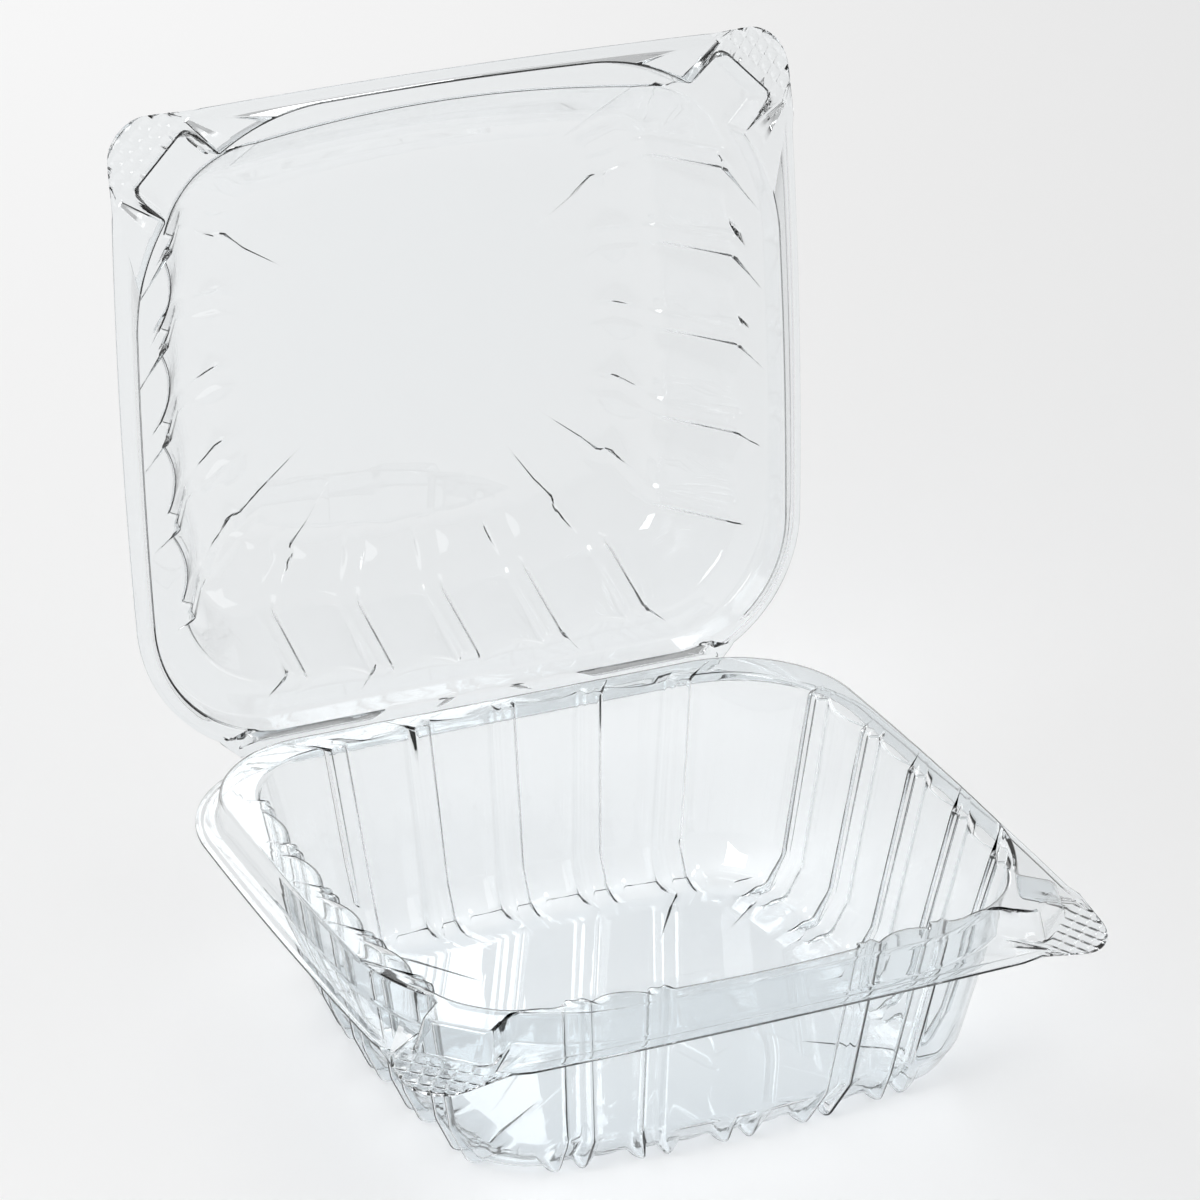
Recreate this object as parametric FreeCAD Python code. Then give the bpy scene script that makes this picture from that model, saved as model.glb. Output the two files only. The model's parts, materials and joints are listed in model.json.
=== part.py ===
import FreeCAD, Part
import math
import os
from FreeCAD import Vector

# Clear hinged clamshell food pack, formed from one thin sheet and modelled with its lid open.
# Millimetres, +Z up, hinge at the back (+Y), grip tabs at the front corners.
# Origin: middle of the flange in plan, on the underside of the floor.

# Overall sizes
pack_width = 150.0            # across the flange
pack_depth = 136.5            # hinge line to the front edge of the flange
tray_depth = 37.0             # hinge axis down to the feet
dome_height = 28.6            # hinge axis up to the closed lid's outer face
sheet = 0.5                   # wall of the formed sheet
nest_gap = 0.3                # clearance between the closed lid and the tray
open_angle = 96.6             # lid angle from closed, as modelled
straight_within = 0.001       # arcs flatter than this are drawn as lines

# Flange outline
flange_bow = 0.7              # how far the sides and front swell outwards
back_corner_radius = 32.0
tab_radius = 9.5              # rounded tip of each front corner
hinge_inset = 21.0            # side of the flange to the end of the hinge line
hinge_gap = 0.2               # hinge line to the edge of each leaf
notch_depth = 3.6             # step in the outline at each end of the hinge
lip_width = 2.0
lip_drop = 0.6
lip_run_out = 4.0             # length over which the lip fades at a tab
tab_size = 19.5               # corner to fold line, along each edge
tab_bend = 13.0               # degrees, tabs bent away from each other

# Seal ridge, with an ear reaching into each front corner
ridge_height = 6.0
ridge_draft = 1.1             # how much wider the ridge is at its foot
ridge_side_inset = 5.5
ridge_back_inset = 6.0
ridge_front_inset = 4.2
ridge_bow = 0.4               # swell of its sides and front
ridge_back_radius = 25.0
ridge_front_radius = 42.0
ear_length = 7.8              # beyond the ridge's rounded corner
ear_half_width = 6.9
ear_corner = 1.6
ear_neck = 2.2
ear_neck_turn = 80.0          # degrees that the neck turns through
ear_end_slope = 0.8           # extra slope on the ear's end wall

# Mouth of the tray and of the lid: the row of cusps at the inner edge of the ledge
ledge_side = 5.1
ledge_end = 3.6
cusp_bow = 3.0                # fall of a row of cusps towards the corners
strip_count = 5               # narrow strips on a fluted wall
corner_side = 18.55           # along each side, left free for the rounded corner
corner_end = 23.4             # the same along the front and the back
strip_half = 2.6
strip_flat = 0.3              # flat share of a strip's notch
strip_notch = 1.8
panel_sag = 2.0               # how far a wide panel swells inwards at the mouth
label_share = 0.57            # share of the front that the plain label panel takes up

# Tray wall and foot
wall_lean_side = 6.9          # mouth to the bend above the foot
wall_lean_end = 5.6
foot_height = 6.0             # bend down to the ring
foot_round = 3.8
foot_ring_side = 5.8          # flat ring round the floor
foot_ring_end = 4.2
foot_draw = 2.0               # strips draw together by this much towards the floor
floor_drop = 2.0              # ring down to the floor and to the rounded feet
foot_half = 2.5               # half width of a rounded foot, one at each edge of a strip
floor_edge = 2.0

# Lid dome
dome_lean = 9.8               # mouth to the bend of the dome
bend_fullness = 0.4           # share of the flutes' depth that is left at the bend
shoulder_rise = 3.1           # bend to the window's border
shoulder_side = 10.2
shoulder_end = 7.6
window_shift = 2.6            # window set forward of the mouth's middle
window_draw = 3.2             # strips draw together by this much towards the window
window_step = 0.6
window_edge = 2.0


# Edges

def line(a, b):
    return Part.LineSegment(a, b).toShape()


def arc(a, middle, b):
    return Part.Arc(a, middle, b).toShape()


def swell(a, b, towards, turn):
    """Arc from a to b that turns by an angle in degrees and swells towards a point."""
    middle = (a + b) * 0.5
    rise = 0.5 * a.distanceToPoint(b) * math.tan(math.radians(turn) / 4)
    return arc(a, middle + (towards - middle).normalize() * rise, b)


def with_mirror(half):
    """A closed loop from its right half, which runs from front middle to back middle."""
    left = [edge.mirror(Vector(0, 0, 0), Vector(1, 0, 0)) for edge in reversed(half)]
    return half + left


# Faces between loops

def band(lower, upper):
    """Ruled faces between two runs of edges that go the same way."""
    same_way = 1
    return [Part.makeRuledSurface(a, b, same_way) for a, b in zip(lower, upper)]


def plate(outer, hole=None):
    """Flat face inside a loop, with an optional hole."""
    face = Part.Face(Part.Wire(outer))
    if hole is None:
        return face
    return face.cut(Part.Face(Part.Wire(hole))).Faces[0]


def solid_from(faces):
    shell = Part.Shell(faces)
    shell.sewShape()
    solid = Part.Solid(shell)
    if solid.Volume < 0:
        solid.reverse()
    return solid


# Fluted loops

class Section:
    """One level of a fluted wall; it meets the next level in straight rules.

    reach: distance of the cusps from the centre, at the sides, back and front
    pitches: spacing of the strips along the sides and along the front and back
    sag: how far a wide panel swells inwards, below zero outwards
    notch: depth of a strip's notch, below zero for a strip that stands out
    foot: how far the rounded feet reach down at the cusps
    """

    def __init__(self, z, centre, reach, pitches, sag, notch, foot=0):
        self.z = z
        self.centre = centre
        self.reach = reach
        self.pitches = pitches
        self.sag = sag
        self.notch = notch
        self.foot = foot

    def grown(self, offset, lift):
        """The same section on the other face of the sheet."""
        reach = [distance + offset for distance in self.reach]
        return Section(self.z + lift, self.centre, reach, self.pitches, self.sag, self.notch, self.foot)

    def inwards(self, side, end, z, draw=0, fullness=1.0, foot=0):
        """The next section, drawn in; fullness scales the scallops and can turn them out."""
        reach = (self.reach[0] - side, self.reach[1] - end, self.reach[2] - end)
        pitches = [pitch - draw for pitch in self.pitches]
        return Section(z, self.centre, reach, pitches, self.sag * fullness, self.notch * fullness, foot)

    def places(self, side):
        """Middles of the strips along one side."""
        middle = (strip_count - 1) / 2
        return [(k - middle) * self.pitches[side % 2] for k in range(strip_count)]

    def length(self, side):
        """Half length of a row of cusps."""
        return self.places(side)[-1] + strip_half

    def at(self, side, along, inward=0, down=0):
        """Point at a distance along one side, moved in and down from its row of cusps."""
        normal = [(1, 0), (0, 1), (-1, 0), (0, -1)][side]
        reach = [self.reach[0], self.reach[1], self.reach[0], self.reach[2]][side]
        away = reach - cusp_bow * (along / self.length(side)) ** 2 - inward
        x = normal[0] * away - normal[1] * along
        y = normal[1] * away + normal[0] * along
        return Vector(x, y + self.centre, self.z - down)


def curve(a, middle, b):
    """Arc through three points, or a line where they lie on one."""
    if middle.distanceToLine(a, b - a) < straight_within:
        return line(a, b)
    return arc(a, middle, b)


def strip(section, side, place):
    """Across one strip: the flank from its first cusp, its flat and the other flank."""
    flat = strip_half * strip_flat
    halfway = (strip_half + flat) / 2
    spots = [(-strip_half, 0, 1), (-halfway, 0.5, 0.75), (-flat, 1, 0)]
    spots += [(flat, 1, 0), (halfway, 0.5, 0.75), (strip_half, 0, 1)]
    p = [section.at(side, place + along, section.notch * depth, section.foot * down)
         for along, depth, down in spots]
    return [curve(p[0], p[1], p[2]), line(p[2], p[3]), curve(p[3], p[4], p[5])]


def between_feet(point, start, end):
    """Half a foot at each end and the span between; point takes a distance and a share down."""
    near = [point(start + foot_half * share, 1 - share ** 2) for share in (0, 0.5, 1)]
    far = [point(end - foot_half * share, 1 - share ** 2) for share in (1, 0.5, 0)]
    return [curve(*near), arc(near[2], point((start + end) / 2, 0), far[0]), curve(*far)]


def panel(section, side, start, end):
    """Across one wide panel, which swells between its two strips."""
    middle = (start + end) / 2

    def point(along, down):
        share = (along - middle) / (end - middle)
        return section.at(side, along, section.sag * (1 - share ** 2), section.foot * down)

    return between_feet(point, start, end)


def fluted_side(section, side):
    places = section.places(side)
    edges = strip(section, side, places[0])
    for before, after in zip(places, places[1:]):
        edges += panel(section, side, before + strip_half, after - strip_half)
        edges += strip(section, side, after)
    return edges


def label_side(section, side):
    """The tray's front: outer strips pushed aside by one wide plain panel."""
    end = section.places(side)[-1]
    label = end * label_share
    edges = strip(section, side, -end)
    edges += panel(section, side, strip_half - end, -label - strip_half)
    edges += strip(section, side, -label)
    edges += plain_panel(section, side, label - strip_half)
    edges += strip(section, side, label)
    edges += panel(section, side, label + strip_half, end - strip_half)
    return edges + strip(section, side, end)


def plain_panel(section, side, end):
    """The label panel, in lengths that meet the strips and panels of the fluted level below."""
    stops = [strip_half * strip_flat, strip_half, strip_half + foot_half, end - foot_half, end]
    stops = [-stop for stop in reversed(stops)] + stops
    return [line(section.at(side, a), section.at(side, b)) for a, b in zip(stops, stops[1:])]


def plain_side(section, side):
    length = section.length(side)
    return [arc(section.at(side, -length), section.at(side, 0), section.at(side, length))]


def corner(section, side):
    """Rounded corner panel from the last cusp of one side to the first of the next."""
    following = (side + 1) % 4
    a = section.at(side, section.length(side))
    b = section.at(following, -section.length(following))
    far_x = max(abs(a.x), abs(b.x))
    far_y = max(abs(a.y - section.centre), abs(b.y - section.centre))
    outside = Vector(math.copysign(far_x, a.x), section.centre + far_y, a.z)
    if a.y < section.centre:
        outside.y = section.centre - far_y
    turn = 90
    for row in (side, following):
        turn -= math.degrees(math.atan(2 * cusp_bow / section.length(row)))
    whole = swell(a, b, outside, turn)

    def point(along, down):
        spot = whole.valueAt(whole.getParameterByLength(along))
        return spot - Vector(0, 0, section.foot * down)

    return between_feet(point, 0, whole.Length)


def fluted_loop(section, front):
    """Closed loop at one level: right, back and left sides, then front, which draws the last."""
    edges = []
    for side, draw in enumerate((fluted_side, fluted_side, fluted_side, front)):
        edges += draw(section, side) + corner(section, side)
    return edges


# Seal ridge

def ridge_loop(z, grow, end_grow):
    """Outline of the seal ridge with its two ears, widened by a distance."""
    half = pack_width / 2 - ridge_side_inset + grow
    back = pack_depth / 2 - ridge_back_inset + grow
    front = ridge_front_inset - pack_depth / 2 - grow
    back_radius = ridge_back_radius + grow
    front_radius = ridge_front_radius + grow
    shoulder = half - ridge_bow
    brow = front + ridge_bow
    pivot = Vector(shoulder - front_radius, brow + front_radius, z)
    ahead = Vector(math.sqrt(0.5), -math.sqrt(0.5), 0)
    aside = Vector(math.sqrt(0.5), math.sqrt(0.5), 0)
    width = ear_half_width + grow
    neck = ear_neck - grow
    root = width + neck
    root_reach = math.sqrt(front_radius ** 2 - root ** 2)
    tip = ridge_front_radius + ear_length + end_grow

    def local(s, w):
        return pivot + ahead * s + aside * w

    def ear_side(sign):
        """From the rounded corner of the ridge to the tip of the ear."""
        a = local(root_reach, sign * root)
        b = local(root_reach + neck, sign * width)
        c = local(tip - ear_corner, sign * width)
        d = local(tip, sign * (width - ear_corner))
        edges = [swell(a, b, local(root_reach, sign * width), ear_neck_turn), line(b, c)]
        edges.append(swell(c, d, local(tip, sign * width), 90))
        return a, edges, d

    front_root, front_side, front_tip = ear_side(-1)
    side_root, outer_side, outer_tip = ear_side(1)
    turn = 45 - math.degrees(math.asin(root / front_radius))
    front_end = Vector(pivot.x, brow, z)
    side_start = Vector(shoulder, pivot.y, z)
    side_end = Vector(shoulder, back - back_radius, z)
    back_start = Vector(shoulder - back_radius, back, z)
    edges = [arc(Vector(0, front, z), sagged(Vector(0, front, z), front_end, z), front_end)]
    edges.append(swell(front_end, front_root, local(2 * front_radius, -front_radius), turn))
    edges += front_side
    edges.append(line(front_tip, outer_tip))
    edges += reversed(outer_side)
    edges.append(swell(side_root, side_start, local(2 * front_radius, front_radius), turn))
    edges.append(arc(side_start, Vector(half, (side_start.y + side_end.y) / 2, z), side_end))
    edges.append(swell(side_end, back_start, Vector(shoulder, back, z), 90))
    edges.append(line(back_start, Vector(0, back, z)))
    return with_mirror(edges)


def sagged(middle, end, z):
    """Half-way point of a shallow curve that is level at its middle."""
    return Vector((middle.x + end.x) / 2, middle.y + (end.y - middle.y) / 4, z)


# Flange

def flange_points(grow, z, lip_z):
    """Corner points of the right half of the flange outline, drawn in by -grow."""
    half = pack_width / 2 + grow
    front = -pack_depth / 2 - grow
    back = pack_depth / 2 - hinge_gap
    radius = back_corner_radius + grow
    turn_y = pack_depth / 2 - back_corner_radius
    drop = back_corner_radius - notch_depth
    arc_end = half - radius + math.sqrt(radius ** 2 - drop ** 2)
    fold = tab_size
    points = {
        "front": Vector(0, front, lip_z),
        "front_lip": Vector(pack_width / 2 - fold - lip_run_out, front + flange_bow, lip_z),
        "front_fold": Vector(pack_width / 2 - fold - grow, front + flange_bow, z),
        "side_fold": Vector(half - flange_bow, fold - pack_depth / 2 + grow, z),
        "side_lip": Vector(half - flange_bow, fold - pack_depth / 2 + lip_run_out, lip_z),
        "side": Vector(half, (fold - pack_depth / 2 + lip_run_out + turn_y) / 2, lip_z),
        "side_end": Vector(half - flange_bow, turn_y, lip_z),
        "notch": Vector(arc_end, pack_depth / 2 - notch_depth, lip_z),
        "hinge": Vector(pack_width / 2 - hinge_inset, back, z),
        "corner": Vector(half, pack_depth / 2, lip_z),
    }
    return points


def flange_loop(grow, z, lip_z):
    """Flange outline in five runs: the front, the fold line, the side, the notch and the hinge."""
    p = flange_points(grow, z, lip_z)
    turn = math.degrees(math.acos((back_corner_radius - notch_depth) / (back_corner_radius + grow)))
    front = [arc(p["front"], sagged(p["front"], p["front_lip"], lip_z), p["front_lip"])]
    front.append(line(p["front_lip"], p["front_fold"]))
    fold = line(p["front_fold"], p["side_fold"])
    side = [line(p["side_fold"], p["side_lip"]), arc(p["side_lip"], p["side"], p["side_end"])]
    side.append(swell(p["side_end"], p["notch"], p["corner"], 90 - turn))
    notch = line(p["notch"], p["hinge"])
    hinge = line(p["hinge"], Vector(0, p["hinge"].y, z))
    return front, fold, side, notch, hinge


def tab_loop(z, way):
    """Edges of the right tab past its fold line, bent up (way 1) or down (way -1)."""
    p = flange_points(0, z, z)
    tip = Vector(p["side_fold"].x, p["front_fold"].y, z)
    start = Vector(tip.x - tab_radius, tip.y, z)
    stop = Vector(tip.x, tip.y + tab_radius, z)
    edges = [line(p["front_fold"], start), swell(start, stop, tip, 90), line(stop, p["side_fold"])]
    for edge in edges:
        edge.rotate(p["front_fold"], p["side_fold"] - p["front_fold"], -way * tab_bend)
    return edges


def fold_edges(outer, inner):
    """The fold line in three lengths, split where the lip's inner edge meets it."""
    a, d = [vertex.Point for vertex in outer.Vertexes]
    b, c = [vertex.Point for vertex in inner.Vertexes]
    return [line(a, b), line(b, c), line(c, d)]


def flange(tray_side, lid_side, way, feet):
    """Both faces and the rim of a flange; feet are the ridge's foot loops on the two faces."""
    faces = []
    rims = []
    for z, foot in zip((tray_side, lid_side), feet):
        inner = flange_loop(-lip_width, z, z)
        outer = flange_loop(0, z, z + way * lip_drop)
        tab = tab_loop(z, way)
        front, fold, side, notch, hinge = inner
        faces.append(plate(with_mirror(front + [fold] + side + [notch, hinge]), foot))
        front, outer_fold, side, outer_notch, hinge = outer
        lip = band(inner[0] + inner[2], front + side)
        ends = [edge.Vertexes[0].Point for edge in (outer_notch, notch)]
        lip.append(plate([notch, outer_notch, line(*ends)]))
        lip.append(plate(tab + fold_edges(outer_fold, fold)))
        faces += with_mirror(lip)
        rims.append(front + tab + side + [outer_notch, hinge])
    return faces + with_mirror(band(*rims))


def sheet_piece(inside, outside, flange_faces):
    """Solid sheet from the flange and the stacks of loops on its two faces."""
    faces = list(flange_faces)
    for stack in (inside, outside):
        foot, crest = stack[:2]
        mouth = stack[2]
        faces += band(foot, crest)
        faces.append(plate(crest, mouth))
        for before, after in zip(stack[2:], stack[3:]):
            faces += band(before, after)
        faces.append(plate(stack[-1]))
    return solid_from(faces)


def mouth_section(z):
    """Row of cusps where the fluted wall leaves the ledge."""
    centre = (ridge_front_inset - ridge_back_inset) / 2
    side = pack_width / 2 - ridge_side_inset - ledge_side
    end = (pack_depth - ridge_front_inset - ridge_back_inset) / 2 - ledge_end
    rows = (end - corner_side, side - corner_end)
    pitches = [(row - strip_half) / ((strip_count - 1) / 2) for row in rows]
    return Section(z, centre, (side, end, end), pitches, panel_sag, strip_notch)


def tray():
    top = -nest_gap / 2
    crest = top + ridge_height
    floor_level = sheet - tray_depth
    ring = floor_level + floor_drop
    mouth = mouth_section(crest)
    bend = mouth.inwards(wall_lean_side, wall_lean_end, ring + foot_height, foot_draw)
    foot = bend.inwards(foot_round, foot_round, ring, foot=floor_drop)
    floor_border = foot.inwards(foot_ring_side, foot_ring_end, ring, 0, -1, floor_drop)
    floor = floor_border.inwards(floor_edge, floor_edge, floor_level)
    inside = [mouth, bend, foot, floor_border, floor]
    outside = [mouth.grown(sheet, -sheet), bend.grown(sheet, -sheet / 2)]
    outside += [section.grown(sheet / 2, -sheet) for section in (foot, floor_border, floor)]
    fronts = [label_side, label_side, fluted_side, fluted_side, fluted_side]
    stacks = []
    for offset, sections in ((0, inside), (-sheet, outside)):
        foot_loop = ridge_loop(top + offset, ridge_draft + offset, ridge_draft + ear_end_slope + offset)
        stack = [foot_loop, ridge_loop(crest + offset, offset, offset)]
        stack += [fluted_loop(section, front) for section, front in zip(sections, fronts)]
        stacks.append(stack)
    rim = flange(top, top - sheet, -1, [stack[0] for stack in stacks])
    return sheet_piece(stacks[0], stacks[1], rim)


def lid():
    """The lid as it lies when closed."""
    bottom = nest_gap / 2
    crest = bottom + ridge_height
    top = dome_height - sheet
    mouth = mouth_section(crest)
    bend = mouth.inwards(dome_lean, dome_lean, top - window_step - shoulder_rise, 0, bend_fullness)
    border = bend.inwards(shoulder_side, shoulder_end, top - window_step, window_draw, -1 / bend_fullness)
    window = border.inwards(window_edge, window_edge, top)
    border.centre -= window_shift
    window.centre -= window_shift
    inside = [mouth, bend, border, window]
    outside = [section.grown(sheet, sheet) for section in inside]
    stacks = []
    for offset, sections in ((0, inside), (sheet, outside)):
        grow = nest_gap + offset
        foot_loop = ridge_loop(bottom + offset, ridge_draft + grow, ridge_draft + ear_end_slope + grow)
        stack = [foot_loop, ridge_loop(crest + offset, grow, grow)]
        stack += [fluted_loop(section, plain_side) for section in sections]
        stacks.append(stack)
    rim = flange(bottom, bottom + sheet, 1, [stack[0] for stack in stacks])
    return sheet_piece(stacks[0], stacks[1], rim)


def write(name, shape):
    shape.translate(Vector(0, 0, tray_depth))
    shape.exportStep("parts/" + name + ".step")
    print(name, shape.isValid(), round(shape.Volume), len(shape.Faces), shape.BoundBox)


os.makedirs("parts", exist_ok=True)
open_lid = lid()
open_lid.rotate(Vector(0, pack_depth / 2, 0), Vector(-1, 0, 0), open_angle)
write("base_tray", tray())
write("lid", open_lid)
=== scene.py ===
import json
import math

import bpy
import numpy as np
from mathutils import Matrix, Vector


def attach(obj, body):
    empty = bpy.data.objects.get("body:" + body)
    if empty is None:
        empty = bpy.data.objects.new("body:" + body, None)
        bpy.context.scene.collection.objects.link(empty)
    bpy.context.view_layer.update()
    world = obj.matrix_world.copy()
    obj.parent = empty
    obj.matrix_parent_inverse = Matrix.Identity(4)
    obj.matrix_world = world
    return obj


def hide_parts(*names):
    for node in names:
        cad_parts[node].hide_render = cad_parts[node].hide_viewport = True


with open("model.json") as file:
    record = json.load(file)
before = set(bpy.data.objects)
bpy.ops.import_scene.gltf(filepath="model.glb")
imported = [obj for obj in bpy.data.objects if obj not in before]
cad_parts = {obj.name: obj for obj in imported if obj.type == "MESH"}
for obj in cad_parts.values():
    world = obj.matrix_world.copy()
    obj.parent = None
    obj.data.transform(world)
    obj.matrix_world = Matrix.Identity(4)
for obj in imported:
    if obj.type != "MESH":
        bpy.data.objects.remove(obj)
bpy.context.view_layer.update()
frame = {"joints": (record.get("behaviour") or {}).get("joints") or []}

# Clear hinged clamshell pack. Lengths are in millimetres until a mesh is made.
MM = 0.001
hinge = frame["joints"][0]

# Overall sizes, from the frame
tray_depth = hinge["pos_m"][2] / MM
half_depth = hinge["pos_m"][1] / MM
open_angle = math.radians(-hinge["range_deg"][0])
half_width = 75.0
dome_height = 28.6
wall = 0.4
nest_gap = 0.3

# Flange
flange_bow = 0.7
back_radius = 32.0
tab_radius = 9.5
hinge_half = 54.0
hinge_gap = 0.2
notch_depth = 3.6
lip_width = 2.0
lip_drop = 0.6
lip_flat = 0.35
lip_run_out = 4.0
tab_size = 19.5
tab_bend = math.radians(13)

# Raised cushions of a tab, between grooves square to its fold line and along it
groove_pitch = 2.9
groove_count = 9
cross_pitch = 2.6
cross_first = 2.1
cross_count = 3
groove_profile = np.array([-1, -0.45, 0.45, 1])
end_groove = 1.1
groove_half = 0.2
groove_slope = 0.3
cushion_rise = 0.3

# Seal ridge and its ears
ridge_height = 6.0
ridge_draft = 1.1
ridge_side_inset = 5.5
ridge_back_inset = 6.0
ridge_front_inset = 4.2
ridge_bow = 0.4
ridge_back_radius = 25.0
ridge_front_radius = 42.0
ear_length = 7.8
ear_half_width = 6.9
ear_corner = 1.6
ear_neck = 2.2
ear_neck_turn = math.radians(80)
ear_end_slope = 0.8

# Mouth and flutes
ledge_side = 5.1
ledge_end = 3.6
cusp_bow = 3.0
strip_count = 5
corner_side = 18.55
corner_end = 23.4
strip_half = 2.6
strip_notch = 1.8
strip_bump = 0.3
panel_sag = 2.0
label_share = 0.57

# Tray wall and foot
wall_lean_side = 6.9
wall_lean_end = 5.6
foot_height = 6.0
foot_round = 3.8
foot_ring_side = 5.8
foot_ring_end = 4.2
foot_draw = 2.0
floor_drop = 2.0
foot_half = 2.5
floor_edge = 2.0

# Lid dome
dome_lean = 9.8
bend_fullness = 0.4
shoulder_rise = 3.1
shoulder_side = 10.2
shoulder_end = 7.6
window_shift = 2.6
window_draw = 3.2
window_step = 0.6
window_edge = 2.0

# Points of a ring: shares of a strip's half width, shares of a foot, and counts of points
STRIP = np.array([0.35, 0.58, 0.7, 0.81, 0.91, 1.0])
FOOT = np.array([0.12, 0.32, 0.56, 0.8, 1.0])
PANEL_STEPS = 6
SIDE_STEPS = len(STRIP) * 5 + 2 * (2 * len(FOOT) + PANEL_STEPS)
LEAD_STEPS = 6
NOTCH_STEPS = 12
CORNER_STEPS = 60
BACK_STEPS = 30

# Points of a path before it is spread out, and the part of the ridge's corners beside the sides
ARC_PATH = 12
RIDGE_PATH = 40
FLANGE_PATH = 60
ridge_lead = math.radians(13)

# Half length of the fold line where the rows of a tab run square to it, how much a row keeps
# from the next one at the outline, and a level beyond the tab's tip
tab_square = 9.3
row_room = 0.004
past_tip = 30


# A point well outside the pack, which a corner swells towards
FAR_OUT = 200


# Paths in plan

def bulge(a, b, towards, turn, shares):
    """Points at shares of an arc from a to b that turns by an angle and swells towards a point."""
    a, b = np.asarray(a, float), np.asarray(b, float)
    middle = (a + b) / 2
    half = np.linalg.norm(b - a) / 2
    along = (b - a) / (2 * half)
    out = np.array([-along[1], along[0]])
    if np.dot(out, np.asarray(towards) - middle) < 0:
        out = -out
    radius = half / math.sin(turn / 2)
    centre = middle - out * radius * math.cos(turn / 2)
    angle = (np.asarray(shares)[:, None] - 0.5) * turn
    return centre + radius * (np.sin(angle) * along + np.cos(angle) * out)


def even(steps):
    """Even shares from 0 up to but not including 1."""
    return np.arange(steps) / steps


def run(a, b, steps):
    t = even(steps)[:, None]
    return np.asarray(a) * (1 - t) + np.asarray(b) * t


def turned(centre, radius, start, stop, shares):
    """Points at shares of an arc about a centre; angles from +X, anticlockwise."""
    angle = start + (stop - start) * np.asarray(shares)
    return np.asarray(centre) + radius * np.column_stack([np.cos(angle), np.sin(angle)])


def spread(path, shares):
    """Points at shares of the length of a polyline."""
    length = np.concatenate([[0], np.cumsum(np.linalg.norm(np.diff(path, axis=0), axis=1))])
    at = np.asarray(shares) * length[-1]
    return np.column_stack([np.interp(at, length, path[:, 0]), np.interp(at, length, path[:, 1])])


def loop(half):
    """Closed ring from its right half, which holds both points on the middle plane."""
    return np.vstack([half, half[-2:0:-1] * [-1, 1, 1]])


def smooth(t):
    t = np.clip(t, 0, 1)
    return t * t * (3 - 2 * t)


# Rows of a fluted side, from its middle out: distance, swell, groove, foot, middle of a groove

def strip_rows(centre, shares):
    """Across a strip; its flanks take up the outer part of its width."""
    shares = np.asarray(shares)
    groove = 1 - smooth((np.abs(shares) - STRIP[1]) / (1 - STRIP[1]))
    middle = 1 - smooth(np.abs(shares) / STRIP[1])
    return np.column_stack([centre + shares * strip_half, 0 * groove, groove, 1 - groove ** 2, middle])


def panel_rows(start, stop):
    """Across a wide panel, with half a foot at each end."""
    inner = np.linspace(start + foot_half, stop - foot_half, PANEL_STEPS + 1)[1:]
    far = np.append(FOOT[:-1][::-1], 0)
    marks = np.concatenate([start + foot_half * FOOT, inner, stop - foot_half * far])
    share = 2 * (marks - start) / (stop - start) - 1
    down = np.concatenate([1 - FOOT ** 2, 0 * inner, 1 - far ** 2])
    return np.column_stack([marks, 1 - share ** 2, 0 * marks, down, 0 * marks])


FULL_STRIP = np.concatenate([-STRIP[:-1][::-1], [0], STRIP])


def fluted_rows(pitch):
    rows = [strip_rows(0, np.append(0, STRIP))]
    for k in range((strip_count - 1) // 2):
        rows.append(panel_rows(k * pitch + strip_half, (k + 1) * pitch - strip_half))
        rows.append(strip_rows((k + 1) * pitch, FULL_STRIP))
    return np.vstack(rows)


def label_rows(pitch):
    """The tray's front: one wide plain panel, and the strips pushed aside."""
    end = pitch * (strip_count - 1) / 2
    label = end * label_share
    even_rows = fluted_rows(pitch)[:SIDE_STEPS + 1 - 4 * len(STRIP) - 2 * len(FOOT) - PANEL_STEPS]
    plain = even_rows * [(label - strip_half) / even_rows[-1, 0], 0, 0, 0, 0]
    return np.vstack([plain, strip_rows(label, FULL_STRIP),
                      panel_rows(label + strip_half, end - strip_half), strip_rows(end, FULL_STRIP)])


def plain_rows(pitch):
    return fluted_rows(pitch) * [1, 0, 0, 0, 0]


def corner_shares(steps, length):
    """Shares of a rounded corner, closer together at the feet at its ends."""
    near = np.append(0, FOOT) * foot_half / length
    inner = np.linspace(near[-1], 1 - near[-1], steps - 2 * len(FOOT) + 1)[1:-1]
    return np.concatenate([near, inner, 1 - near[:0:-1]])


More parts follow.
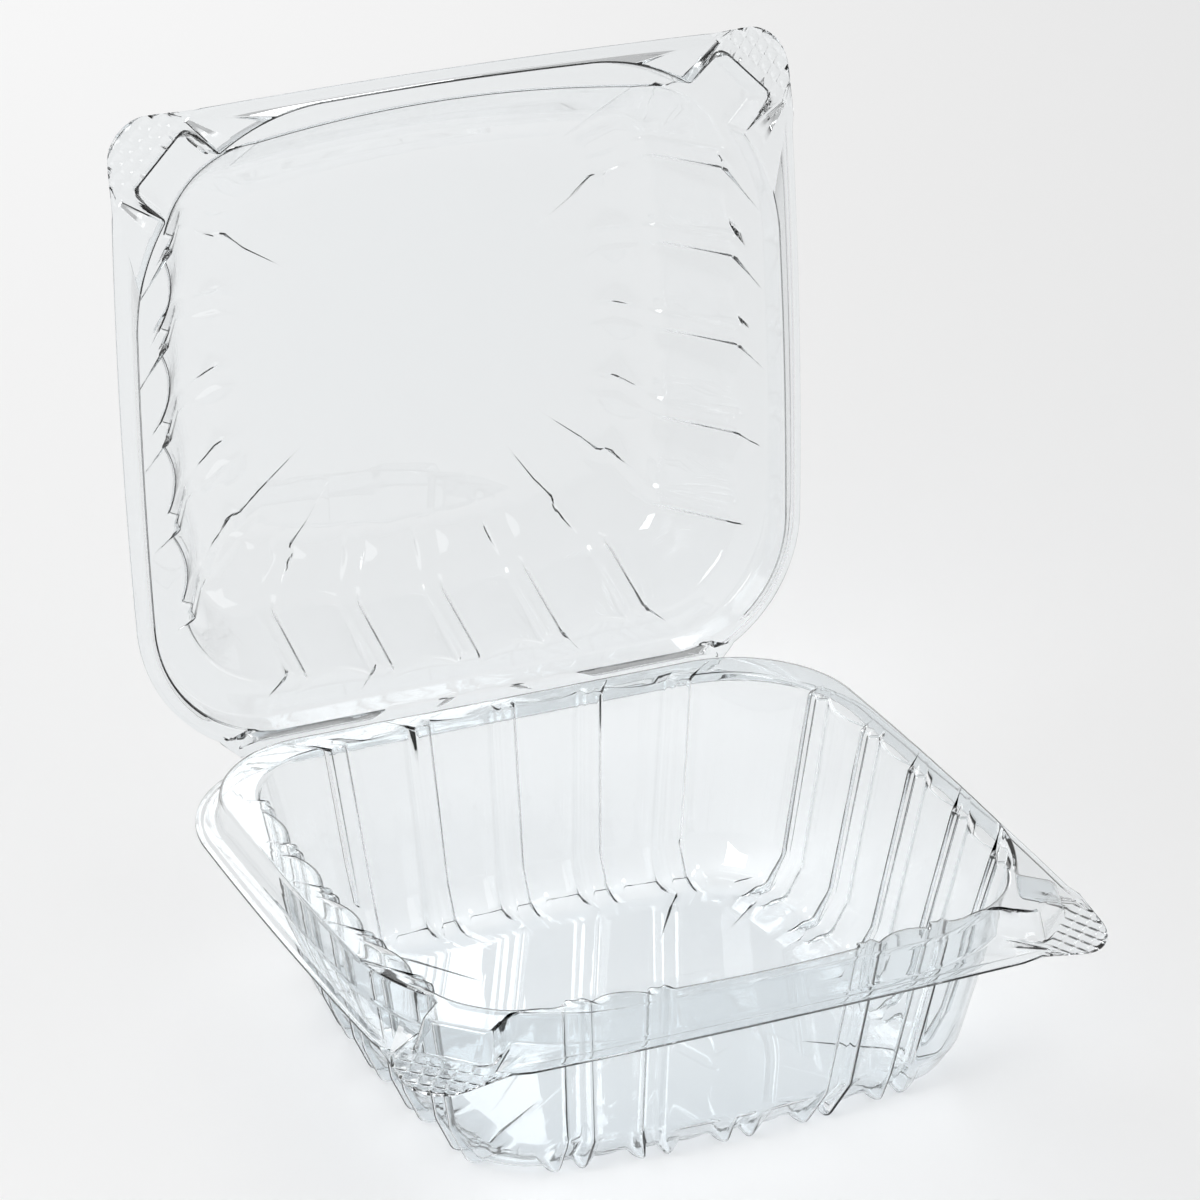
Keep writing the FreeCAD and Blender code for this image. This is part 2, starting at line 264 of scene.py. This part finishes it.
class Section:
    """One level of the fluted wall: reach of the cusps at the sides, back and front."""

    def __init__(self, z, centre, reach, pitches, sag, notch, foot=0):
        self.z = z
        self.centre = centre
        self.reach = reach
        self.pitches = pitches
        self.sag = sag
        self.notch = notch
        self.foot = foot

    def inwards(self, side, end, z, draw=0, fullness=1.0, foot=0):
        reach = (self.reach[0] - side, self.reach[1] - end, self.reach[2] - end)
        pitches = [pitch - draw for pitch in self.pitches]
        return Section(z, self.centre, reach, pitches, self.sag * fullness, self.notch * fullness, foot)

    def length(self, parity):
        return self.pitches[parity] * (strip_count - 1) / 2 + strip_half

    def away(self, reach, rows, parity, bump):
        """Distances from the centre; a bump lifts the middle of each groove."""
        fall = cusp_bow * (rows[:, 0] / self.length(parity)) ** 2
        return reach - fall - self.sag * rows[:, 1] - self.notch * (rows[:, 2] - bump * rows[:, 4])

    def corner(self, a, b, way, steps):
        """Rounded corner from a to b, on the front (way -1) or at the back (way 1)."""
        turn = math.pi / 2 - sum(math.atan(2 * cusp_bow / self.length(k)) for k in (0, 1))
        length = np.linalg.norm(b - a) * turn / 2 / math.sin(turn / 2)
        outside = (FAR_OUT, self.centre + way * FAR_OUT)
        return bulge(a, b, outside, turn, corner_shares(steps, length))

    def half_ring(self, front_rows, bump=0.0):
        """Right half of the ring."""
        front = front_rows(self.pitches[1])
        side = fluted_rows(self.pitches[0])
        side = np.vstack([side[:0:-1] * [-1, 1, 1, 1, 1], side])
        back = fluted_rows(self.pitches[1])[::-1]
        bottom = np.column_stack([front[:, 0], self.centre - self.away(self.reach[2], front, 1, bump)])
        right = np.column_stack([self.away(self.reach[0], side, 0, bump), side[:, 0] + self.centre])
        top = np.column_stack([back[:, 0], self.centre + self.away(self.reach[1], back, 1, bump)])
        plan = np.vstack([
            bottom[:-1], self.corner(bottom[-1], right[0], -1, CORNER_STEPS),
            right[:-1], self.corner(right[-1], top[0], 1, BACK_STEPS), top,
        ])
        downs = np.concatenate([
            front[:-1, 3], self.corner_feet(CORNER_STEPS),
            side[:-1, 3], self.corner_feet(BACK_STEPS), back[:, 3],
        ])
        return np.column_stack([plan, self.z - self.foot * downs])

    def corner_feet(self, steps):
        near = 1 - np.append(0, FOOT) ** 2
        return np.concatenate([near, np.zeros(steps - 2 * len(FOOT) - 1), near[:0:-1]])


# Shares of the sides of a ring, so that its points stand beside those of the fluted rings

class Layout:
    def __init__(self, section, front_rows):
        self.front = front_rows(section.pitches[1])[:, 0] / section.length(1)
        side = fluted_rows(section.pitches[0])[:, 0] / section.length(0)
        self.side = np.concatenate([(1 - side[:0:-1]) / 2, (1 + side) / 2])
        self.back = 1 - (fluted_rows(section.pitches[1])[:, 0] / section.length(1))[::-1]


# Seal ridge rings

def ridge_ring(z, grow, end_grow, layout):
    half = half_width - ridge_side_inset + grow
    back = half_depth - ridge_back_inset + grow
    front = ridge_front_inset - half_depth - grow
    back_r = ridge_back_radius + grow
    front_r = ridge_front_radius + grow
    shoulder = half - ridge_bow
    brow = front + ridge_bow
    pivot = np.array([shoulder - front_r, brow + front_r])
    ahead = np.array([1, -1]) * math.sqrt(0.5)
    aside = np.array([1, 1]) * math.sqrt(0.5)
    width = ear_half_width + grow
    neck = ear_neck - grow
    root = width + neck
    root_reach = math.sqrt(front_r ** 2 - root ** 2)
    tip = ridge_front_radius + ear_length + end_grow
    lead = ridge_lead
    root_angle = math.pi / 4 - math.asin(root / front_r)

    def local(s, w):
        return pivot + ahead * s + aside * w

    near = np.vstack([
        turned(pivot, front_r, lead - math.pi / 2, root_angle - math.pi / 2, even(8)),
        bulge(local(root_reach, -root), local(root_reach + neck, -width),
              local(root_reach, -width), ear_neck_turn, even(6)),
        run(local(root_reach + neck, -width), local(tip - ear_corner, -width), 5),
        bulge(local(tip - ear_corner, -width), local(tip, ear_corner - width),
              local(tip, -width), math.pi / 2, even(6)),
        run(local(tip, ear_corner - width), local(tip, 0), 5),
    ])
    far = near[:0:-1] - pivot
    corner = np.vstack([near, local(tip, 0)[None], pivot - far[:, ::-1]])

    x = np.linspace(0, pivot[0], RIDGE_PATH)
    swell = np.column_stack([x, front + ridge_bow * (x / pivot[0]) ** 2])
    start = turned(pivot, front_r, -math.pi / 2, lead - math.pi / 2, np.linspace(0, 1, ARC_PATH))
    bottom = spread(np.vstack([swell, start[1:]]), layout.front)[:-1]

    y0, y1 = pivot[1], back - back_r
    y = np.linspace(y0, y1, RIDGE_PATH)
    t = (y - (y0 + y1) / 2) / ((y1 - y0) / 2)
    back_pivot = np.array([shoulder - back_r, back - back_r])
    path = np.vstack([
        turned(pivot, front_r, -lead, 0, even(ARC_PATH)),
        np.column_stack([half - ridge_bow * t * t, y]),
        turned(back_pivot, back_r, 0, lead, np.linspace(0, 1, ARC_PATH)[1:]),
    ])
    side = spread(path, layout.side)[:-1]
    back_corner = turned(back_pivot, back_r, lead, math.pi / 2 - lead, even(BACK_STEPS))
    path = np.vstack([turned(back_pivot, back_r, math.pi / 2 - lead, math.pi / 2, even(ARC_PATH)),
                      [[shoulder - back_r, back], [0, back]]])
    plan = np.vstack([bottom, corner, side, back_corner, spread(path, layout.back)])
    return loop(np.column_stack([plan, np.full(len(plan), float(z))]))


# Flange rings

def tab_spots():
    """Places along the fold line: the edges of the grooves, and points between and beyond them."""
    lines = (np.arange(groove_count) - (groove_count - 1) / 2) * groove_pitch
    edges = lines[:, None] + groove_profile * (groove_half + groove_slope)
    between = (lines[1:] + lines[:-1]) / 2
    beyond = lines[[0, -1]] + [-end_groove, end_groove]
    return np.sort(np.concatenate([edges.ravel(), between, beyond]))


def tab_levels():
    """Distances beyond the fold line, from the tip down to the fold."""
    lines = cross_first + cross_pitch * np.arange(cross_count)
    edges = lines[:, None] + groove_profile * (groove_half + groove_slope)
    return np.concatenate([[past_tip], np.sort(edges.ravel())[::-1], [0]])


SPOTS = tab_spots()
LEVELS = tab_levels()
LAST_ROW = len(LEVELS) - 1


def cushions(s, d, room):
    """Rise of the cushions: nothing in the grooves, at the outline and at the fold line."""
    across = np.abs(s - np.round(s / groove_pitch) * groove_pitch)
    cross = np.clip(np.round((d - cross_first) / cross_pitch), 0, cross_count - 1)
    beyond = np.abs(d - cross * cross_pitch - cross_first)
    nearest = np.minimum(np.minimum(across, beyond), np.minimum(room * 0.75, d))
    return cushion_rise * smooth((nearest - groove_half) / groove_slope)


def tab_part(half_fold, row):
    """Points of one flange ring over the right tab: place along the fold, beyond it, and rise."""
    spots = np.append(-half_fold, SPOTS)
    centre = half_fold - tab_radius * math.sqrt(2)
    rounded_tip = centre + np.sqrt(np.maximum(tab_radius ** 2 - spots ** 2, 0))
    at_tip = np.abs(spots) < tab_radius * math.sqrt(0.5)
    reach = np.where(at_tip, rounded_tip, half_fold - np.abs(spots))
    inner_half = half_fold - lip_width * math.sqrt(2)
    over = np.clip((np.abs(spots) - tab_square) / (half_fold - tab_square), 0, 1)
    fold = np.sign(spots) * (np.minimum(np.abs(spots), tab_square) + over * (inner_half - tab_square))
    share = np.minimum(LEVELS[row] / np.maximum(reach, 1e-6), 1 - row_room * row)
    mix = smooth(over * 3)
    share = share * (1 - mix) + (1 - row / LAST_ROW) * mix
    if row in (0, LAST_ROW):
        share[:] = 1 - row / LAST_ROW
    s = fold + (spots - fold) * share
    d = reach * share
    return s, d, cushions(s, d, np.maximum(reach - d, 0))


def flange_ring(row, z, way, layout):
    """One ring of the flange; row runs from 0 at its edge to the last at the lip's inner side."""
    share = row / LAST_ROW
    grow = -lip_width * share
    lip_z = z + way * lip_drop * (1 - smooth((share - lip_flat) / (1 - lip_flat)))
    half = half_width + grow
    front = -half_depth - grow
    back = half_depth - hinge_gap + grow
    radius = back_radius + grow
    turn_y = half_depth - back_radius
    drop = back_radius - notch_depth
    run_out = half_width - tab_size - lip_run_out
    x = np.linspace(0, run_out, FLANGE_PATH)
    bottom = spread(np.column_stack([x, front + flange_bow * (x / run_out) ** 2]), layout.front)[:-1]

    outer_a = np.array([half_width - tab_size, flange_bow - half_depth])
    outer_b = np.array([half_width - flange_bow, tab_size - half_depth])
    middle = (outer_a + outer_b) / 2
    half_fold = np.linalg.norm(outer_b - outer_a) / 2
    aside = (outer_b - outer_a) / (2 * half_fold)
    ahead = np.array([aside[1], -aside[0]])
    s, d, rise = tab_part(half_fold, row)
    tab = middle + np.outer(s, aside) + np.outer(d * math.cos(tab_bend), ahead)
    tab_z = z + way * d * math.sin(tab_bend) + way * rise * math.cos(tab_bend)
    ends = middle + np.outer([-1, 1], aside) * (half_fold + grow * math.sqrt(2))
    first = run((run_out, front + flange_bow), ends[0], CORNER_STEPS - LEAD_STEPS - len(s))
    last = run(ends[1], (half - flange_bow, tab_size - half_depth + lip_run_out), LEAD_STEPS)
    corner = np.vstack([first, tab, last])
    fades = [lip_z + (z - lip_z) * even(len(first)), tab_z, z + (lip_z - z) * even(len(last))]
    corner_z = np.concatenate(fades)

    y0 = tab_size - half_depth + lip_run_out
    y = np.linspace(y0, turn_y, FLANGE_PATH)
    t = (y - (y0 + turn_y) / 2) / ((turn_y - y0) / 2)
    side = spread(np.column_stack([half - flange_bow * t * t, y]), layout.side)[:-1]
    pivot = (half - flange_bow - radius, turn_y)
    corner_back = turned(pivot, radius, 0, math.asin(drop / radius), even(BACK_STEPS))
    notch = (half - radius + math.sqrt(radius ** 2 - drop ** 2), half_depth - notch_depth + grow)
    notch_run = run(notch, (hinge_half, back), NOTCH_STEPS)
    top = run((hinge_half, back), (0, back), SIDE_STEPS - NOTCH_STEPS)
    half_plan = np.vstack([bottom, corner, side, corner_back, notch_run, top, [[0, back]]])
    heights = [np.full(len(bottom), lip_z), corner_z, np.full(len(side) + len(corner_back), lip_z),
               lip_z + (z - lip_z) * even(NOTCH_STEPS), np.full(len(top) + 1, float(z))]
    return loop(np.column_stack([half_plan, np.concatenate(heights)]))


def flange_rings(z, way, layout):
    return [flange_ring(row, z, way, layout) for row in range(LAST_ROW + 1)]


# Profiles across the rings

def rounded(rings, roundings, spans):
    """Stations across the rings, with each inner ring's edge rounded off.

    roundings: distance of each inner ring's rounding along the profile
    spans: steps on each flat stretch between two rings
    """
    stations = [rings[0]]
    previous = rings[0]
    for before, ring, after, rounding, steps in zip(rings, rings[1:], rings[2:], roundings, spans):
        a = ring + shortened(before - ring, rounding)
        b = ring + shortened(after - ring, rounding)
        stations += stretch(previous, a, steps)
        for t in (0.33, 0.67, 1):
            stations.append((1 - t) ** 2 * a + 2 * t * (1 - t) * ring + t * t * b)
        previous = b
    return stations + stretch(previous, rings[-1], spans[-1])


def shortened(vectors, distance):
    length = np.linalg.norm(vectors, axis=1, keepdims=True)
    scale = np.minimum(distance, 0.45 * length) / np.maximum(length, 1e-9)
    return vectors * scale


def stretch(a, b, steps):
    return [a + (b - a) * t for t in np.arange(1, steps + 1) / steps]


def close_floor(stations, section):
    """Rings that lose their flutes and draw together to the middle of the floor."""
    smooth_ring = loop(section.inwards(4, 4, section.z, 2, 0).half_ring(plain_rows))
    middle = smooth_ring.mean(axis=0)
    return stations + [middle + (smooth_ring - middle) * share for share in (1, 0.7, 0.4, 0.1)]


# Meshes

def grid_normals(grid):
    """Upward normals of a grid of stations by ring points; a formed sheet has no undercuts."""
    around = np.roll(grid, -1, axis=1) - np.roll(grid, 1, axis=1)
    across = np.empty_like(grid)
    across[1:-1] = grid[2:] - grid[:-2]
    across[0] = grid[1] - grid[0]
    across[-1] = grid[-1] - grid[-2]
    normals = np.cross(around, across)
    normals *= np.where(normals[..., 2:] < 0, -1, 1)
    for blur in range(2):
        normals /= np.maximum(np.linalg.norm(normals, axis=2, keepdims=True), 1e-9)
        normals = normals * 2 + np.roll(normals, 1, axis=1) + np.roll(normals, -1, axis=1)
    return normals / np.maximum(np.linalg.norm(normals, axis=2, keepdims=True), 1e-9)


def sheet_mesh(name, grid, thickness, place):
    """Closed sheet of a thickness from a grid of stations; negative thickness goes downwards.

    place moves points of the closed pack to where they stand
    """
    rows, columns = grid.shape[:2]
    other = grid + grid_normals(grid) * thickness
    if thickness > 0:
        # The faces point away from the sheet only when its lower side comes second
        grid, other = other, grid
    verts = place(np.vstack([grid.reshape(-1, 3), other.reshape(-1, 3)])) + [0, 0, tray_depth]
    offset = rows * columns
    index = np.arange(offset).reshape(rows, columns)
    beside = np.roll(index, -1, axis=1)
    quads = np.stack([index[:-1], beside[:-1], beside[1:], index[1:]], axis=-1).reshape(-1, 4)
    faces = quads.tolist()
    faces += (quads[:, ::-1] + offset).tolist()
    rim = np.stack([beside[0], index[0], index[0] + offset, beside[0] + offset], axis=-1)
    faces += rim.tolist()
    faces.append(index[-1].tolist())
    faces.append((index[-1][::-1] + offset).tolist())
    mesh = bpy.data.meshes.new(name)
    mesh.from_pydata((verts * MM).tolist(), [], faces)
    mesh.update()
    mesh.shade_smooth()
    piece = bpy.data.objects.new(name, mesh)
    bpy.context.scene.collection.objects.link(piece)
    return piece


def as_formed(points):
    return points


def opened(points):
    """Closed lid turned about the hinge to where it stands open."""
    y = points[:, 1] - half_depth
    z = points[:, 2]
    cos, sin = math.cos(open_angle), math.sin(open_angle)
    return np.column_stack([points[:, 0], half_depth + y * cos + z * sin, z * cos - y * sin])


def mouth_section(z):
    centre = (ridge_front_inset - ridge_back_inset) / 2
    side = half_width - ridge_side_inset - ledge_side
    end = half_depth - (ridge_front_inset + ridge_back_inset) / 2 - ledge_end
    pitches = [(row - strip_half) / ((strip_count - 1) / 2) for row in (end - corner_side, side - corner_end)]
    return Section(z, centre, (side, end, end), pitches, panel_sag, strip_notch)


def tray_grid():
    top = -nest_gap / 2
    crest = top + ridge_height
    floor_level = wall - tray_depth
    ring = floor_level + floor_drop
    mouth = mouth_section(crest)
    bend = mouth.inwards(wall_lean_side, wall_lean_end, ring + foot_height, foot_draw)
    foot = bend.inwards(foot_round, foot_round, ring, foot=floor_drop)
    border = foot.inwards(foot_ring_side, foot_ring_end, ring, 0, -1, floor_drop)
    floor = border.inwards(floor_edge, floor_edge, floor_level)
    layout = Layout(mouth, label_rows)
    lip = flange_rings(top, -1, layout)
    rings = [lip[-1], ridge_ring(top, ridge_draft, ridge_draft + ear_end_slope, layout),
             ridge_ring(crest, 0, 0, layout)]
    rings += [loop(mouth.half_ring(label_rows, strip_bump)), loop(bend.half_ring(label_rows))]
    rings += [loop(section.half_ring(fluted_rows)) for section in (foot, border, floor)]
    roundings = [0.5, 0.9, 0.9, 0.8, 1.3, 1.2, 0.9]
    spans = [1, 2, 2, 4, 2, 2, 1, 1]
    return np.array(close_floor(lip[:-1] + rounded(rings, roundings, spans), floor))


def lid_grid():
    bottom = nest_gap / 2
    crest = bottom + ridge_height
    top = dome_height - wall
    mouth = mouth_section(crest)
    bend = mouth.inwards(dome_lean, dome_lean, top - window_step - shoulder_rise, 0, bend_fullness)
    border = bend.inwards(shoulder_side, shoulder_end, top - window_step, window_draw, -1 / bend_fullness)
    window = border.inwards(window_edge, window_edge, top)
    border.centre -= window_shift
    window.centre -= window_shift
    layout = Layout(mouth, plain_rows)
    lip = flange_rings(bottom, 1, layout)
    foot_grow = ridge_draft + nest_gap
    rings = [lip[-1], ridge_ring(bottom, foot_grow, foot_grow + ear_end_slope, layout),
             ridge_ring(crest, nest_gap, nest_gap, layout)]
    rings.append(loop(mouth.half_ring(plain_rows, strip_bump)))
    rings += [loop(section.half_ring(plain_rows)) for section in (bend, border, window)]
    roundings = [1.0, 0.6, 1.0, 2.5, 0.8, 0.8]
    spans = [1, 2, 2, 4, 4, 2, 1]
    return np.array(close_floor(lip[:-1] + rounded(rings, roundings, spans), window))


# Materials

def clear_plastic():
    """Thin clear polyester that lets lamps through, so that its shadows stay faint."""
    material = bpy.data.materials.new("clear_plastic")
    material.use_nodes = True
    tree = material.node_tree
    shader = tree.nodes["Principled BSDF"]
    shader.inputs["Base Color"].default_value = (0.93, 0.95, 0.96, 1)
    shader.inputs["Roughness"].default_value = 0
    shader.inputs["IOR"].default_value = 1.5
    shader.inputs["Transmission Weight"].default_value = 1
    rays = tree.nodes.new("ShaderNodeLightPath")
    film = tree.nodes.new("ShaderNodeBsdfTransparent")
    film.inputs["Color"].default_value = (0.93, 0.94, 0.95, 1)
    mix = tree.nodes.new("ShaderNodeMixShader")
    tree.links.new(rays.outputs["Is Shadow Ray"], mix.inputs["Fac"])
    tree.links.new(shader.outputs["BSDF"], mix.inputs[1])
    tree.links.new(film.outputs["BSDF"], mix.inputs[2])
    tree.links.new(mix.outputs["Shader"], tree.nodes["Material Output"].inputs["Surface"])
    return material


# Scene

def area_light(name, location, target, size, power):
    data = bpy.data.lights.new(name, "AREA")
    data.shape = "SQUARE"
    data.size = size
    data.energy = power
    light = bpy.data.objects.new(name, data)
    bpy.context.scene.collection.objects.link(light)
    light.location = location
    light.rotation_mode = "QUATERNION"
    light.rotation_quaternion = (Vector(target) - Vector(location)).to_track_quat("-Z", "Y")


def studio():
    bpy.ops.mesh.primitive_plane_add(size=8, location=(0, 0, -0.0002))
    floor = bpy.context.object
    floor.name = "floor"
    material = bpy.data.materials.new("pale_floor")
    material.use_nodes = True
    shader = material.node_tree.nodes["Principled BSDF"]
    shader.inputs["Base Color"].default_value = (0.9, 0.9, 0.9, 1)
    shader.inputs["Roughness"].default_value = 0.6
    floor.data.materials.append(material)
    world = bpy.data.worlds.new("studio")
    bpy.context.scene.world = world
    world.use_nodes = True
    background = world.node_tree.nodes["Background"]
    background.inputs["Color"].default_value = (1, 1, 1, 1)
    background.inputs["Strength"].default_value = 0.55
    middle = (0, 0.03, 0.06)
    area_light("key", (-0.7, -0.5, 0.9), middle, 0.6, 5.5)
    area_light("fill", (0.9, -0.6, 0.5), middle, 0.7, 1.5)
    area_light("back", (0.1, 1.0, 0.7), middle, 0.7, 3.5)


def camera():
    """Long lens, a little above the flange and turned to the right of it."""
    azimuth, elevation, roll = math.radians(25.886), math.radians(25.734), math.radians(1.186)
    target = Vector((-7.085, 0, 57.09 + tray_depth)) * MM
    distance = 1102.1 * MM
    look = Vector((math.sin(azimuth) * math.cos(elevation),
                   math.cos(azimuth) * math.cos(elevation), -math.sin(elevation)))
    right = Vector((math.cos(azimuth), -math.sin(azimuth), 0))
    up = right.cross(look)
    level = right * math.cos(roll) + up * math.sin(roll)
    upright = up * math.cos(roll) - right * math.sin(roll)
    data = bpy.data.cameras.new("camera")
    data.sensor_width = 36
    data.lens = 5745.6 / 1200 * 36
    data.clip_start = 0.05
    item = bpy.data.objects.new("camera", data)
    bpy.context.scene.collection.objects.link(item)
    turn = Matrix((level, upright, -look)).transposed().to_4x4()
    item.matrix_world = Matrix.Translation(target - look * distance) @ turn
    bpy.context.scene.camera = item


plastic = clear_plastic()
tray = sheet_mesh("base_tray_shell", tray_grid(), -wall, as_formed)
lid = sheet_mesh("lid_shell", lid_grid(), wall, opened)
for piece, body in ((tray, "base_tray"), (lid, "lid")):
    piece.data.materials.append(plastic)
    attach(piece, body)
    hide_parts(body)
studio()
camera()
bpy.context.scene.view_settings.view_transform = "Standard"
